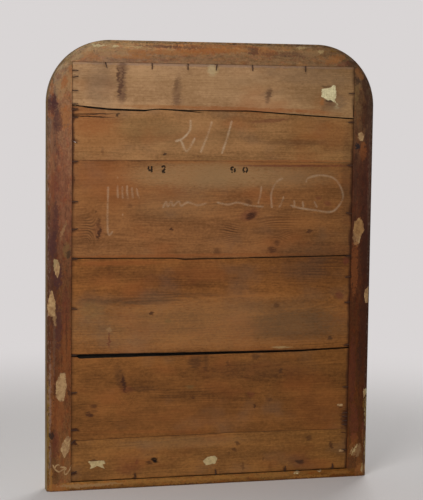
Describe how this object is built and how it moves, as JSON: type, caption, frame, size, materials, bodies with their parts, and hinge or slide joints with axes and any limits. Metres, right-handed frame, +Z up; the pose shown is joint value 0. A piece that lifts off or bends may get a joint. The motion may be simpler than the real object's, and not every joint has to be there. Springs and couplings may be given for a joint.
{
  "type": "wall mirror",
  "caption": "Framed wall mirror with rounded top corners, gilt moulding, and a back of pine boards held by brads in a rebated frame.",
  "frame": {"origin": "middle of the flat base, on the surface that the mirror stands on, and halfway through its depth", "axes": "+Z up the mirror, +Y out of the back towards the wall, +X to the right as seen from the glass side; the glass looks towards -Y"},
  "size_m": [0.704, 0.0454, 0.938],
  "materials": {
    "frame_wood": "aged oiled softwood",
    "stained_frame_wood": "aged softwood with red-brown stain",
    "board_wood": "bare aged pine",
    "block_wood": "sawn softwood",
    "gilt_gesso": "worn water gilding over red bole",
    "glass": "old clear glass",
    "silvering": "tin foil silvering, slightly foxed",
    "leather_slip": "old leather",
    "brad_iron": "rusted iron"
  },
  "bodies": {
    "root": {"left_stile": "stained_frame_wood", "right_stile": "stained_frame_wood", "top_rail": "frame_wood", "bottom_rail": "frame_wood", "corner_block_left": "frame_wood", "corner_block_right": "frame_wood", "gilt_moulding": "gilt_gesso", "sight_bead": "gilt_gesso", "mirror_glass": "glass", "silvering": "silvering", "setting_pads": "leather_slip", "glass_blocks_left": "block_wood", "glass_blocks_right": "block_wood", "glass_blocks_top": "block_wood", "glass_blocks_bottom": "block_wood", "backboard_1_upper": "board_wood", "backboard_1_lower": "board_wood", "backboard_2": "board_wood", "backboard_3": "board_wood", "backboard_4": "board_wood", "backboard_5": "board_wood", "brads_left": "brad_iron", "brads_right": "brad_iron", "brads_top": "brad_iron", "brads_bottom": "brad_iron"}
  },
  "joints": []
}
